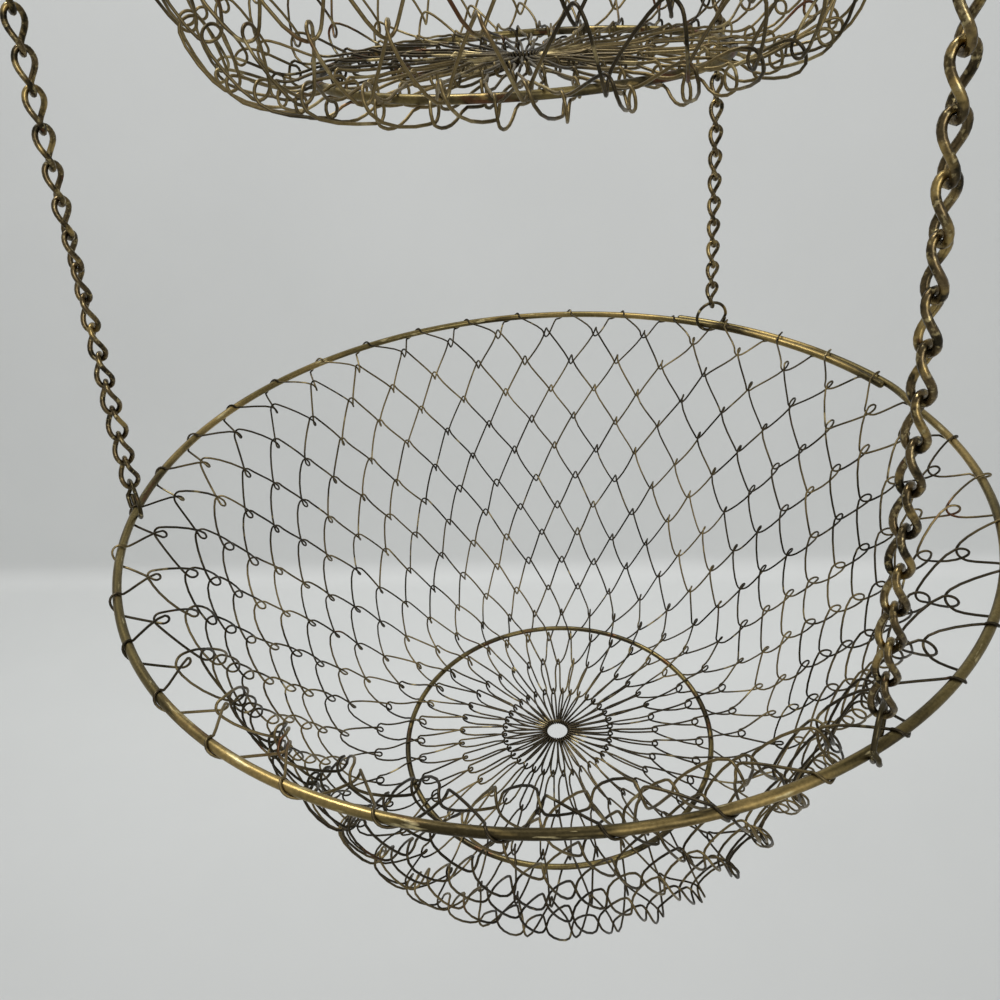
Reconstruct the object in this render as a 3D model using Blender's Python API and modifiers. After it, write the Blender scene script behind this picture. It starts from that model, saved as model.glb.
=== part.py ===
"""A hanging fruit basket of three round wire tiers, modelled at its real size in metres.

The origin is the inside top of the hook, where the set bears on what it hangs from, and +Z is up.
A hook holds a ring, three jump rings hang on the ring, and three chains run down past the rims.
Each tier has a wire rim, a soft wire net, a base ring threaded in the net and a centre ring that
gathers the last course. The net is one thin bowl of the net's true outer shape, opened in diamonds
that are coarser than the real mesh.
"""

import math

import bmesh
import bpy
from mathutils import Matrix, Vector

NAME = "hanging_tiered_fruit_basket"

# Clearances, in metres.
SEAT_GAP = 0.0003          # between two pieces that touch
RIM_SEAT_GAP = 0.0005      # under a rim, because the jump ring crosses it aslant
NOTCH_CLEARANCE = 0.0010   # round a jump ring or a link where it passes the net's edge

# The hook: an S of wire in the XZ plane, its lower bend closed round the top ring.
HOOK_WIRE = 0.0036
HOOK_MOUTH_RADIUS = 0.0110   # inside the upper crook
HOOK_EYE_RADIUS = 0.0075     # inside the lower bend
HOOK_DROP = 0.0480           # from the crook's inside top to the lower bend's inside bottom
HOOK_TIP_TURN = math.radians(-25)    # how far the open tip comes back below level
HOOK_EYE_TURN = math.radians(225)    # how far round the lower bend goes
HOOK_ARC_POINTS = 9
HOOK_SHANK_POINTS = 6

# The top ring: a plain wire ring in the YZ plane.
TOP_RING_RADIUS = 0.0135     # to the wire's centre
TOP_RING_WIRE = 0.0030
TOP_RING_POINTS = 24
TOP_SPACING = 0.0042         # between neighbouring jump rings along the top ring's wire

# Jump rings: one round each rim at each chain, and three on the top ring.
JUMP_RADIUS = 0.00725        # to the wire's centre
JUMP_WIRE = 0.0015
JUMP_POINTS = 12
JUMP_TURN = math.radians(60)   # from square across the rim to the slanted way that the rings lie

# Chain links: a bent wire loop of six points with a three-cornered section.
LINK_WIDTH = 0.0080
LINK_WIRE = 0.0018
LINK_PITCH = 0.0104
LINK_BITE = 0.00035          # how far neighbouring links sink into each other, so that a run is one body
SECTION_CORNER_SHARE = 0.65  # the section's corner radius, as a share of the wire: a like area
TIP_SHARE = 0.8              # how wide the link still is at its tips, as a share of its middle

# Where the three chains stand round the rims, as the photograph shows them on the lowest tier.
AZIMUTHS = {
    "left": math.radians(179.6),
    "back": math.radians(52.8),
    "front": math.radians(297.3),
}
TOP_ORDER = {"left": 0, "back": 1, "front": -1}   # their places along the top ring

# The tiers, top to bottom. Radii are to the wire's centre, depth from the rim to the net's floor.
TIERS = {
    "upper": {"rim_radius": 0.108, "depth": 0.099, "base_radius": 0.0490, "links_above": 20},
    "middle": {"rim_radius": 0.130, "depth": 0.120, "base_radius": 0.0590, "links_above": 22},
    "lower": {"rim_radius": 0.155, "depth": 0.143, "base_radius": 0.0704, "links_above": 24},
}
RIM_WIRE = 0.0030
BASE_WIRE = 0.0024
CENTRE_RADIUS = 0.0060
CENTRE_WIRE = 0.0012
NET_THICKNESS = 0.0012       # of the latticed bowl that stands for the net
NET_BAR = 0.0020             # width of the lattice's bars
RING_POINTS = 36             # round each rim, base ring and net, so that their corners line up
CENTRE_POINTS = 10

# The net's wall from the flared lip to the floor's corner: shares of the rim's radius and of the depth.
WALL_SHARES = ((0.867, 0.112), (0.775, 0.550), (0.640, 0.968))
HUB_SHARE = 0.158            # how far out the closed middle of the floor goes, as a share of the rim's radius
LIP_STEPS = 2                # flats over the rim, from its outer side to its inner side
BUMP_STEPS = 2               # flats over the base ring
MERGE_DISTANCE = 0.0001      # points of the turned bowl closer than this become one

LINK_CORNER = SECTION_CORNER_SHARE * LINK_WIRE
LINK_FLAT = LINK_CORNER / 2                           # from the wire's centre to the section's flat side
CHAIN_SEAT = JUMP_WIRE / 2 + SEAT_GAP + LINK_CORNER   # a ring's wire centre to that of the link on it
UP = Vector((0, 0, 1))

MATERIALS = {
    "aged_brass": ((0.30, 0.25, 0.13), 1.0, 0.42),
    "chain_brass": ((0.30, 0.25, 0.15), 1.0, 0.40),
    "dark_brass": ((0.16, 0.13, 0.07), 1.0, 0.45),
    "bronze_wire": ((0.06, 0.05, 0.035), 1.0, 0.50),
}


def clear_scene():
    for obj in list(bpy.data.objects):
        bpy.data.objects.remove(obj, do_unlink=True)


def make_materials():
    made = {}
    for name, (colour, metallic, roughness) in MATERIALS.items():
        material = bpy.data.materials.new(name)
        material.use_nodes = True
        shader = material.node_tree.nodes["Principled BSDF"]
        shader.inputs["Base Color"].default_value = (*colour, 1)
        shader.inputs["Metallic"].default_value = metallic
        shader.inputs["Roughness"].default_value = roughness
        made[name] = material
    return made


class Basket:
    """The collections, materials and joint empties that every piece is added to."""

    def __init__(self):
        self.parts = bpy.data.collections.new(NAME)
        self.cutters = bpy.data.collections.new("cutters")
        for collection in (self.parts, self.cutters):
            bpy.context.scene.collection.children.link(collection)
        self.materials = make_materials()
        self.places = {}

    def holder(self, name, place, parent=None):
        """An empty on a joint's axis, which carries what moves there."""
        empty = bpy.data.objects.new(name, None)
        empty.empty_display_size = TOP_RING_RADIUS
        self.parts.objects.link(empty)
        self.places[empty] = place
        empty.parent = parent
        empty.location = place - (self.places[parent] if parent else Vector())
        return empty

    def put(self, obj, place, holder=None, turn=None):
        """Places an object with its origin at a world point, under the empty that moves it."""
        obj.parent = holder
        obj.location = place - (self.places[holder] if holder else Vector())
        if turn is not None:
            obj.rotation_mode = "QUATERNION"
            obj.rotation_quaternion = turn.to_quaternion()

    def add(self, obj, material, place, holder=None, turn=None):
        obj.data.materials.append(self.materials[material])
        self.parts.objects.link(obj)
        self.put(obj, place, holder, turn)
        return obj

    def add_cutter(self, obj, place, holder=None, turn=None):
        obj.hide_render = True
        obj.display_type = "WIRE"
        self.cutters.objects.link(obj)
        self.put(obj, place, holder, turn)
        return obj


def frame_of(x_axis, z_axis):
    """The rotation whose X and Z axes are the ones given, Z first made square to X."""
    x = x_axis.normalized()
    z = (z_axis - z_axis.dot(x) * x).normalized()
    return Matrix((x, z.cross(x), z)).transposed()


def mitre(before, point, after):
    """How much wider the section is at a corner, so that the stretches beside it keep their thickness."""
    return 1 / math.cos((point - before).angle(after - point) / 2)


def wire(name, points, diameter, closed, resolution=1):
    """A wire along straight stretches between the points."""
    curve = bpy.data.curves.new(name, "CURVE")
    curve.dimensions = "3D"
    curve.bevel_depth = diameter / 2
    curve.bevel_resolution = resolution
    curve.use_fill_caps = not closed
    spline = curve.splines.new("POLY")
    spline.points.add(len(points) - 1)
    for i, point in enumerate(points):
        spline.points[i].co = (*point, 1)
        if closed or 0 < i < len(points) - 1:
            spline.points[i].radius = mitre(points[i - 1], point, points[(i + 1) % len(points)])
    spline.use_cyclic_u = closed
    return bpy.data.objects.new(name, curve)


def circle(radius, count):
    """Points round a circle in the XY plane, the first on +X."""
    turns = (2 * math.pi * i / count for i in range(count))
    return [Vector((radius * math.cos(a), radius * math.sin(a), 0)) for a in turns]


def arc(centre, radius, start, turn, count):
    """Points along an arc in the XZ plane."""
    angles = (start + turn * i / (count - 1) for i in range(count))
    return [centre + radius * Vector((math.cos(a), 0, math.sin(a))) for a in angles]


def hook_points():
    """The S of the hook: over the crook, down across the middle, and round the lower bend."""
    mouth = HOOK_MOUTH_RADIUS + HOOK_WIRE / 2
    eye = HOOK_EYE_RADIUS + HOOK_WIRE / 2
    mouth_centre = Vector((0, 0, -HOOK_MOUTH_RADIUS))
    eye_centre = Vector((0, 0, HOOK_EYE_RADIUS - HOOK_DROP))
    crook = arc(mouth_centre, mouth, math.pi - HOOK_TIP_TURN, HOOK_TIP_TURN - math.pi, HOOK_ARC_POINTS)
    bend = arc(eye_centre, eye, math.pi, HOOK_EYE_TURN, HOOK_ARC_POINTS)
    shank = []
    for i in range(1, HOOK_SHANK_POINTS):
        t = i / HOOK_SHANK_POINTS
        point = crook[-1].lerp(bend[0], t)
        point.x = mouth + (-eye - mouth) * (3 - 2 * t) * t * t
        shank.append(point)
    return crook + shank + bend


def run_span(links, pitch):
    """From the first link's top to the last link's bottom, between wire centres."""
    return links * pitch + 2 * LINK_CORNER - LINK_BITE


def link_mesh(length):
    """One link round the origin, long in X and wide in Y, its section with a corner turned inwards."""
    side = (LINK_WIDTH - LINK_WIRE) / 2
    tip = length / 2
    end = TIP_SHARE * side
    outline = [(tip, -end), (tip, end), (0, side), (-tip, end), (-tip, -end), (0, -side)]
    section = bpy.data.curves.new("link_section", "CURVE")
    section.dimensions = "3D"
    corners = section.splines.new("POLY")
    corners.points.add(2)
    for i, corner in enumerate(corners.points):
        angle = math.pi + 2 * math.pi * i / 3
        corner.co = (LINK_CORNER * math.cos(angle), LINK_CORNER * math.sin(angle), 0, 1)
    corners.use_cyclic_u = True
    section_object = bpy.data.objects.new("link_section", section)
    bpy.context.scene.collection.objects.link(section_object)
    loop = wire("link", [Vector((*p, 0)) for p in outline], LINK_WIRE, closed=True)
    loop.data.twist_mode = "Z_UP"
    loop.data.bevel_mode = "OBJECT"
    loop.data.bevel_object = section_object
    bpy.context.scene.collection.objects.link(loop)
    graph = bpy.context.evaluated_depsgraph_get()
    mesh = bpy.data.meshes.new_from_object(loop.evaluated_get(graph))
    bpy.data.objects.remove(loop)
    bpy.data.objects.remove(section_object)
    return mesh


def link_set(name, link, transforms):
    """One mesh object that holds a copy of the link at each transform."""
    built = bmesh.new()
    for transform in transforms:
        start = len(built.verts)
        built.from_mesh(link)
        built.verts.ensure_lookup_table()
        bmesh.ops.transform(built, matrix=transform, verts=built.verts[start:])
    bmesh.ops.recalc_face_normals(built, faces=built.faces)
    mesh = bpy.data.meshes.new(name)
    built.to_mesh(mesh)
    built.free()
    return bpy.data.objects.new(name, mesh)


def chain_run(basket, name, links, top, bottom, top_normal, bottom_normal, holder):
    """A run of links from one ring's wire to another's. Every second link is turned a quarter, and
    the run twists a little so that its last link also lies square to its ring."""
    along = (bottom - top).normalized()
    span = (bottom - top).length + 2 * CHAIN_SEAT
    pitch = (span - 2 * LINK_CORNER + LINK_BITE) / links
    length = pitch + 2 * LINK_CORNER - LINK_BITE
    flat_bottom = (bottom_normal - bottom_normal.dot(along) * along).normalized()
    first = frame_of(along, top_normal)
    across = first.col[2]
    twist = math.atan2(along.dot(across.cross(flat_bottom)), across.dot(flat_bottom))
    quarters = round(((links - 1) * math.pi / 2 - twist) / math.pi)
    step = (twist + math.pi * quarters) / (links - 1)
    link = link_mesh(length)
    transforms = []
    for i in range(links):
        place = along * (i * pitch + length / 2 - CHAIN_SEAT)
        turn = Matrix.Rotation(i * step, 3, along)
        axes = turn @ first
        wide_first = Matrix((axes.col[0], axes.col[2], -axes.col[1])).transposed()
        transforms.append(Matrix.Translation(place) @ wide_first.to_4x4())
    run = link_set(name, link, transforms[0::2])
    others = link_set(name + "_odd_links", link, transforms[1::2])
    bpy.data.meshes.remove(link)
    basket.add(run, "chain_brass", top, holder)
    basket.add_cutter(others, top, holder)
    union = run.modifiers.new("odd_links", "BOOLEAN")
    union.operation = "UNION"
    union.object = others
    return run


def bowl_profile(tier):
    """The net's middle line from the rim's outer side, over the rim, down the wall and in to the centre."""
    rim_radius, depth, base_radius = tier["rim_radius"], tier["depth"], tier["base_radius"]

    def over(radius, height, diameter, steps):
        reach = (diameter / 2 + SEAT_GAP + NET_THICKNESS / 2) / math.cos(math.pi / steps / 2)
        angles = (math.pi * i / steps for i in range(steps + 1))
        return [Vector((radius + reach * math.cos(a), 0, height + reach * math.sin(a))) for a in angles]

    lip = over(rim_radius, 0, RIM_WIRE, LIP_STEPS)
    wall = [Vector((r * rim_radius, 0, -z * depth)) for r, z in WALL_SHARES]
    bump = over(base_radius, -depth, BASE_WIRE, BUMP_STEPS)
    hub = Vector((HUB_SHARE * rim_radius, 0, -depth))
    centre = Vector((CENTRE_RADIUS + CENTRE_WIRE / 2 + SEAT_GAP, 0, -depth))
    return lip + wall + bump + [hub, centre]


def turned_bowl(name, profile):
    """The profile turned round the Z axis, as a mesh of four-sided faces."""
    outline = bpy.data.meshes.new(name + "_outline")
    outline.from_pydata(profile, [(i, i + 1) for i in range(len(profile) - 1)], [])
    turned = bpy.data.objects.new(outline.name, outline)
    bpy.context.scene.collection.objects.link(turned)
    screw = turned.modifiers.new("turned", "SCREW")
    screw.steps = screw.render_steps = RING_POINTS
    screw.use_merge_vertices = True
    screw.merge_threshold = MERGE_DISTANCE
    graph = bpy.context.evaluated_depsgraph_get()
    mesh = bpy.data.meshes.new_from_object(turned.evaluated_get(graph))
    mesh.name = name
    bpy.data.objects.remove(turned)
    return mesh


def open_diamonds(mesh, profile, first, last):
    """Opens the faces between two points of the profile in a lattice of diamonds, two columns wide each."""
    shape = bmesh.new()
    shape.from_mesh(mesh)
    column_turn = 2 * math.pi / RING_POINTS
    row, odd = {}, {}
    for vert in shape.verts:
        flat = Vector((vert.co.xy.length, 0, vert.co.z))
        row[vert] = min(range(len(profile)), key=lambda i: (profile[i] - flat).length)
        odd[vert] = (round(math.atan2(vert.co.y, vert.co.x) / column_turn) + row[vert] - first) % 2
    for face in list(shape.faces):
        if all(first <= row[v] <= last for v in face.verts):
            bmesh.ops.connect_verts(shape, verts=[v for v in face.verts if odd[v]])
    inside = [v for v in shape.verts if first < row[v] < last and not odd[v]]
    halves = [e for e in shape.edges
              if {row[v] for v in e.verts} in ({first, first + 1}, {last - 1, last})
              and odd[e.verts[0]] != odd[e.verts[1]]
              and any(row[v] in (first, last) and not odd[v] for v in e.verts)]
    bmesh.ops.dissolve_edges(shape, edges=halves)
    bmesh.ops.dissolve_verts(shape, verts=inside)
    openings = [f for f in shape.faces if all(first <= row[v] <= last for v in f.verts)]
    bmesh.ops.inset_individual(shape, faces=openings, thickness=NET_BAR / 2, use_even_offset=True)
    bmesh.ops.delete(shape, geom=openings, context="FACES")
    shape.to_mesh(mesh)
    shape.free()


def net(basket, name, tier, place, notches, holder):
    """The bowl: a turned profile opened in diamonds, with a wall thickness, cut away at each jump ring."""
    profile = bowl_profile(tier)
    mesh = turned_bowl(name, profile)
    wall_end = LIP_STEPS + len(WALL_SHARES) + 1
    floor_start = wall_end + BUMP_STEPS
    open_diamonds(mesh, profile, LIP_STEPS, wall_end)
    open_diamonds(mesh, profile, floor_start, floor_start + 1)
    bowl = basket.add(bpy.data.objects.new(name, mesh), "bronze_wire", place, holder)
    wall = bowl.modifiers.new("thickness", "SOLIDIFY")
    wall.thickness = NET_THICKNESS
    wall.offset = 0
    wall.use_even_offset = True
    reach = 2 * (JUMP_RADIUS + JUMP_WIRE / 2 + NOTCH_CLEARANCE)
    width = LINK_WIDTH + 2 * NOTCH_CLEARANCE
    for side, (centre, turn) in notches.items():
        shape = bmesh.new()
        bmesh.ops.create_cube(shape, size=reach)
        bmesh.ops.scale(shape, vec=(1, 1, width / reach), verts=shape.verts)
        cutter_mesh = bpy.data.meshes.new(name + "_notch_" + side)
        shape.to_mesh(cutter_mesh)
        shape.free()
        cutter = bpy.data.objects.new(cutter_mesh.name, cutter_mesh)
        basket.add_cutter(cutter, centre, holder, turn)
        cut = bowl.modifiers.new("notch_" + side, "BOOLEAN")
        cut.operation = "DIFFERENCE"
        cut.object = cutter
    return bowl


def ring(basket, name, place, turn, radius, diameter, count, material, holder, resolution=1):
    obj = wire(name, circle(radius, count), diameter, True, resolution)
    return basket.add(obj, material, place, holder, turn)


def jump_ring(basket, name, centre, turn, holder):
    return ring(basket, name, centre, turn, JUMP_RADIUS, JUMP_WIRE, JUMP_POINTS, "dark_brass", holder, 0)


def suspension_top(basket):
    """The hook and the top ring. Returns the empty of the tiers' swing and each chain's start on the ring."""
    hook = wire("hanging_hook", hook_points(), HOOK_WIRE, closed=False)
    basket.add(hook, "aged_brass", Vector())
    swing_axis = Vector((0, 0, -HOOK_DROP - HOOK_WIRE / 2))
    ring_holder = basket.holder("ring_swing_axis", swing_axis)
    ring_top = -HOOK_DROP + SEAT_GAP + TOP_RING_WIRE / 2
    ring_centre = Vector((0, 0, ring_top - TOP_RING_RADIUS))
    upright = frame_of(UP, Vector((1, 0, 0)))
    ring(basket, "top_ring", ring_centre, upright, TOP_RING_RADIUS, TOP_RING_WIRE,
         TOP_RING_POINTS, "aged_brass", ring_holder)
    tiers_axis = ring_centre - TOP_RING_RADIUS * UP
    tiers_holder = basket.holder("tier_swing_axis", tiers_axis, ring_holder)
    starts = {}
    for side, order in TOP_ORDER.items():
        angle = order * TOP_SPACING / TOP_RING_RADIUS
        place = ring_centre + TOP_RING_RADIUS * Vector((0, math.sin(angle), -math.cos(angle)))
        tangent = Vector((0, math.cos(angle), math.sin(angle)))
        starts[side] = (place, tangent)
    return tiers_holder, starts


def rim_point(tier, side, height):
    """The rim's wire centre at a chain, on the straight stretch between two of the rim's corners."""
    angle = AZIMUTHS[side]
    stretch = 2 * math.pi / RING_POINTS
    radius = tier["rim_radius"] * math.cos(stretch / 2) / math.cos(angle % stretch - stretch / 2)
    return Vector((radius * math.cos(angle), radius * math.sin(angle), height))


def drop_to_rim(start, tier, side, reach):
    """The height of a rim whose point on this side lies the given reach from the start."""
    level = rim_point(tier, side, start.z)
    return start.z - math.sqrt(reach**2 - (level - start).length**2)


def add_tier(basket, name, height, starts, holder, above_holder, last):
    """A tier at a height, with the jump rings and chains that carry it. Returns where its own chains end,
    for the tier below."""
    tier = TIERS[name]
    centre = Vector((0, 0, height))
    level = Matrix.Identity(3)
    ring(basket, name + "_rim", centre, level, tier["rim_radius"], RIM_WIRE,
         RING_POINTS, "aged_brass", holder)
    seat = rim_seat(last)
    notches = {}
    ends = {}
    for side, (start, start_normal) in starts.items():
        foot = rim_point(tier, side, height)
        up_chain = (start - foot).normalized()
        tangent = Vector((-math.sin(AZIMUTHS[side]), math.cos(AZIMUTHS[side]), 0))
        facing = math.cos(JUMP_TURN) * tangent + math.sin(JUMP_TURN) * tangent.cross(UP)
        turn = frame_of(up_chain, facing)
        ring_centre = foot + up_chain * (JUMP_RADIUS - seat)
        jump_ring(basket, f"{name}_jump_ring_{side}", ring_centre, turn, holder)
        chain_run(basket, f"{name}_chain_{side}", tier["links_above"], start,
                  ring_centre + up_chain * JUMP_RADIUS, start_normal, turn.col[2], above_holder)
        notches[side] = (ring_centre, turn)
        ends[side] = (ring_centre - up_chain * JUMP_RADIUS, turn.col[2])
    net(basket, name + "_net", tier, centre, notches, holder)
    floor = centre - tier["depth"] * UP
    fold_holder = basket.holder(name + "_fold_axis", floor, holder)
    ring(basket, name + "_base_ring", floor, level, tier["base_radius"], BASE_WIRE,
         RING_POINTS, "aged_brass", fold_holder)
    ring(basket, name + "_centre_ring", floor, level, CENTRE_RADIUS, CENTRE_WIRE,
         CENTRE_POINTS, "bronze_wire", fold_holder)
    return ends


def rim_seat(last):
    """From the jump ring's lowest wire centre up to the rim's: a tier with one below it also has the
    first link of the next chain lying between them."""
    plain = JUMP_WIRE / 2 + RIM_SEAT_GAP + RIM_WIRE / 2
    return plain if last else plain + LINK_CORNER + LINK_FLAT + SEAT_GAP


def build():
    clear_scene()
    basket = Basket()
    holder, on_ring = suspension_top(basket)
    first = TIERS["upper"]
    ring_seat = TOP_RING_WIRE / 2 + SEAT_GAP + JUMP_WIRE / 2
    above = 2 * JUMP_RADIUS - ring_seat

    def reach_of(name, last):
        span = run_span(TIERS[name]["links_above"], LINK_PITCH) - 2 * CHAIN_SEAT
        return span + 2 * JUMP_RADIUS - rim_seat(last)

    height = drop_to_rim(on_ring["left"][0], first, "left", above + reach_of("upper", last=False))
    starts = {}
    for side, (place, tangent) in on_ring.items():
        down_chain = (rim_point(first, side, height) - place).normalized()
        turn = frame_of(down_chain, tangent)
        jump_ring(basket, "top_jump_ring_" + side, place + down_chain * (JUMP_RADIUS - ring_seat), turn, holder)
        starts[side] = (place + down_chain * above, turn.col[2])
    above_holder = holder
    for name in TIERS:
        last = name == "lower"
        if name != "upper":
            height = drop_to_rim(starts["left"][0], TIERS[name], "left", reach_of(name, last))
            above_holder = holder
            holder = basket.holder(name + "_lift_axis", Vector((0, 0, height)), holder)
        starts = add_tier(basket, name, height, starts, holder, above_holder, last)


build()
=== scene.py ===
"""Hanging tiered fruit basket: round wire tiers on three chains, with nets of hooked brass wire.

The script is laid out as a Blender add-on and is run as a script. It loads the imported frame, makes
each piece round it, and sets the floor, the lamps and the camera. Lengths are in metres.
"""

import math
from collections import namedtuple

import bpy
import numpy as np
from bpy.props import FloatProperty, FloatVectorProperty, PointerProperty
from mathutils import Matrix, Vector


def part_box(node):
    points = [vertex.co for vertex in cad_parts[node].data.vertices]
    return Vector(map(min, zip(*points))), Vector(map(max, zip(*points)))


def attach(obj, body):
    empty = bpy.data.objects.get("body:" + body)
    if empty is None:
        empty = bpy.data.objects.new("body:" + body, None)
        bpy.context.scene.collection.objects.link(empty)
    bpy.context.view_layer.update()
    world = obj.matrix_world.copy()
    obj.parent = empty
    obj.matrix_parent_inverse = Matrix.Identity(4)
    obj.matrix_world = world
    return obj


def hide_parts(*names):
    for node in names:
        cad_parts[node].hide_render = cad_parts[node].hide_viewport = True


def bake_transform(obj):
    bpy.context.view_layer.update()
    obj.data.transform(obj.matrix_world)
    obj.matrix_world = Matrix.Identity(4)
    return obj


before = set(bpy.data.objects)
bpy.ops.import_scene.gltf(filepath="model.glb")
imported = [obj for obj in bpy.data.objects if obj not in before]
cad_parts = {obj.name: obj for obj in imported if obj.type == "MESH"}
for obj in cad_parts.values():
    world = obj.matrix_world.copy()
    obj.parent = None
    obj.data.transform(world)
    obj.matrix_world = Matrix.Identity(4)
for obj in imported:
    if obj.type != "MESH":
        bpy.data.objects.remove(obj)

bl_info = {
    "name": "Hanging Tiered Fruit Basket",
    "version": (1, 0, 0),
    "blender": (4, 5, 0),
    "location": "View3D > Sidebar > Basket",
    "description": "Makes a hanging set of round wire baskets with chains, jump rings and a hook",
    "category": "Add Mesh",
}

X_AXIS = Vector((1, 0, 0))
UP = Vector((0, 0, 1))

# Where round the tiers each chain hangs, what each tier hangs from, and the links of each of its chains.
SIDES = {"left": math.radians(179.6), "back": math.radians(52.8), "front": math.radians(297.3)}
TIER_ABOVE = {"upper": "top", "middle": "upper", "lower": "middle"}
LINKS = {"upper": 20, "middle": 22, "lower": 24}

# Radii of the rings, to the middle of the wire.
RIM_RADIUS = {"upper": 0.108, "middle": 0.130, "lower": 0.155}
BASE_RADIUS = {"upper": 0.0490, "middle": 0.0590, "lower": 0.0704}
CENTRE_RADIUS = 0.0060
JUMP_RADIUS = 0.00725
TOP_RING_RADIUS = 0.0135

# Where each rim's ends lap and over how long an arc, in degrees, the arc over which the wire moves aside
# before it, and how far aside it moves, in thicknesses.
RIM_LAPS = {"upper": (205, 30), "middle": (95, 30), "lower": (18, 41)}
LAP_EASE = math.radians(10)
LAP_ACROSS = 1.02

# How far a jump ring turns from its rim's line, and how far it turns and stands out where the rim is doubled.
JUMP_TURN = math.radians(60)
DOUBLED_JUMP_TURN = math.radians(47)
DOUBLED_JUMP_OUT = 0.0015

# A jump ring's lapped ends: start, arc and easing in radians, shares of the wire across and along.
JUMP_LAP = {"start": 1.9, "lap": 0.55, "ease": 0.35, "across": 0.25, "along_axis": 1.0}

# The places of the top jump rings along the top ring.
TOP_ORDER = {"left": 0, "back": 1, "front": -1}
TOP_SPACING = 0.0042

# Each chain's turn about its own line: the way it goes, and between which shares of the run.
CHAIN_TURNS = {"left": (-1, 0.40, 1.0), "back": (1, 0.0, 0.28), "front": (-1, 0.0, 1.0)}

# How unevenly the links turn and their seed, the points round a link, its squareness, which is 1 for a plain
# oval, and the play between two links.
UNEVEN_TURN = math.radians(2.5)
CHAIN_SEED = 7
LINK_POINTS = 32
LINK_SQUARENESS = 0.80
PLAY = 0.0001

# Each net's cells round the rim, its courses, and how its rows match the lowest net's sixteen rows.
NETS = {
    "upper": (25, 11, ((0, 11), (0, 15))),
    "middle": (30, 14, ((0, 10.62, 14), (0, 11.695, 15))),
    "lower": (36, 15, ((0, 15), (0, 15))),
}

# The lowest net's rows: radius and depth below the rim, both as shares of the rim's radius.
ROW_RADIUS = (1.0, 0.923, 0.867, 0.845, 0.824, 0.804, 0.775, 0.743, 0.715, 0.681, 0.640, 0.543, 0.415,
              0.289, 0.158, 0.0387)
ROW_DEPTH = (0, 0.029, 0.103, 0.200, 0.301, 0.405, 0.507, 0.602, 0.704, 0.804, 0.893, 0.929, 0.924,
             0.920, 0.920, 0.9226)

# Among those rows: the one at the heel, the last place on the wall, and where the base ring passes.
HEEL_ROW = 10
LAST_WALL_ROW = 10.01
BASE_RING_ROW = 11.695

# How far round the first row stands, and each next row from the one before, in cells.
FIRST_PHASE, RIM_STEP, WALL_STEP, FLOOR_STEP = 0.10, 0.36, 0.4742, 0.55

# A hook's depth, half its thickness, how far it goes along its row, how that is spread over it (above 1
# late, below 1 early), and the turns at which it starts and ends, in degrees.
Hook = namedtuple("Hook", "reach lift advance skew start end")

# The hooks at a course's tops and bottoms in each zone of a net, and how far their tips pass the row, in
# the rows near the rim and in the others.
TOP_HOOKS = {
    "wall": Hook(0.0030, 0.0027, 0.0025, 1.5, 28, 152),
    "low": Hook(0.0023, 0.0027, 0.0034, 1.1, 32, 148),
    "floor": Hook(0.0019, 0.0028, 0.0024, 1.2, -25, 180),
}
TOP_TIPS = (0.0026, 0.0021)
BOTTOM_HOOKS = {
    "wall": Hook(0.0024, 0.0021, 0.0031, 0.7, 22, 158),
    "low": Hook(0.0021, 0.0023, 0.0036, 0.9, 32, 148),
    "floor": Hook(0.0017, 0.0022, 0.0031, 0.65, -12, 192),
}
BOTTOM_TIPS = (0.0015, 0.0012)
ROWS_NEAR_RIM = 2
LOW_ROWS = 4

# Hooks are full size in cells this wide and no smaller than this share of it. Each also leans less where
# the rows are far apart, but in the floor no less than this share.
FULL_CELL, LEAST_SIZE = 0.0115, 0.6
LEAN_ROOM, FLOOR_LEAN = 0.004, 0.5
UNEVEN_HOOKS = 0.13

# How stiffly a leg leaves a top and meets a bottom in each zone, at the rim and at the centre ring, as
# shares of its length, and how much of that counts at the tops of the legs that rise.
LEG_STIFF = {"wall": (0.75, 0.55), "low": (0.55, 0.50), "floor": (0.85, 0.60)}
RIM_STIFF, CENTRE_STIFF, RISE_SHARE = 0.18, 0.2, 0.85

# Where a leg has its points, and where one that passes the base ring has them.
LEG_SHARES = (0.10, 0.29, 0.50, 0.71, 0.90)
RING_LEG_SHARES = np.linspace(0, 1, 10)[1:-1]

# Hooks and legs stand less unevenly in cells narrower than this.
SLACK_CELL = 0.018

# How loosely the first course hangs on the rim: the middle and spread of its play, and the most of it.
LOOSE, LOOSE_SPREAD, MOST_LOOSE = -0.0006, 0.0012, 0.0027

# How far apart the legs and the base ring between them are, and how near to it they move aside.
RING_ROOM, RING_REACH = 0.00015, 0.0035

# How rough every noise is, and the colour sockets of a Mix node.
NOISE_ROUGHNESS = 0.55
MIX_A, MIX_B, MIX_RESULT = 6, 7, 2

# The patches on the metal, golden, pale and rusted, where the pale ones are rubbed wear and also painted
# glints: scale, detail, shift, and the ramp below and above the level at which they begin.
PATCHES = ((0.7, 4, 0.31, 0.05, 0.07), (3.1, 4, 0.57, 0.03, 0.06), (1.3, 6, 0.83, 0.03, 0.05))

# The ramps of the metal's noise: from tarnish to the base colour, from dull to rubbed, and from dark to
# light in the grain with how dark and how light that is. Then the grain's strength and depth as bump.
TARNISH_RAMP, RUBBED_RAMP, GRAIN_RAMP = (0.38, 0.56), (0.35, 0.65), (0.25, 0.75, 0.70, 1.18)
GRAIN_BUMP = (0.4, 0.00007)

# How much the patches are drawn out along a round wire.
DRAWN_OUT = 0.026
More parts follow.
